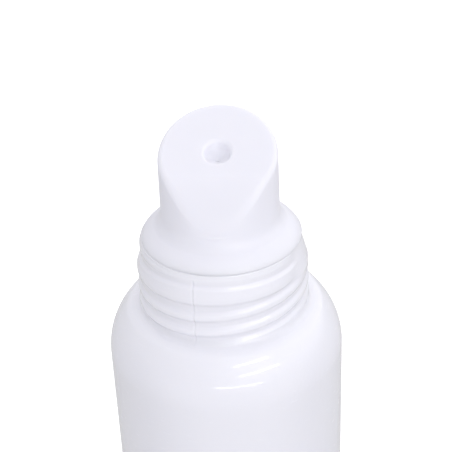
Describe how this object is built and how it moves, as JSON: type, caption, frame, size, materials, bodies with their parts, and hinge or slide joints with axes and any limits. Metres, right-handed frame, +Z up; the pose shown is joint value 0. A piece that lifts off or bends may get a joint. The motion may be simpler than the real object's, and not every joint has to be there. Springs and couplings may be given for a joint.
{
  "type": "squeeze dropper bottle",
  "caption": "Round squeeze bottle with a domed shoulder, a threaded neck and a pull-out slanted applicator tip with an outlet hole.",
  "frame": {"origin": "on the bottle's axis, at the level of the flat ring that it stands on", "axes": "+Z up along the bottle's axis, -Y the side that the slanted face looks towards"},
  "size_m": [0.022, 0.022, 0.0603],
  "materials": {
    "bottle_plastic": "moulded white, soft gloss",
    "tip_plastic": "moulded white, gloss"
  },
  "bodies": {
    "bottle": {"bottle_body": "bottle_plastic"},
    "applicator": {"slant_applicator": "tip_plastic"}
  },
  "joints": [
    {"name": "applicator_pull", "type": "slide", "parent": "bottle", "child": "applicator", "axis": [0, 0, 1], "range_m": [0, 0.012]}
  ]
}
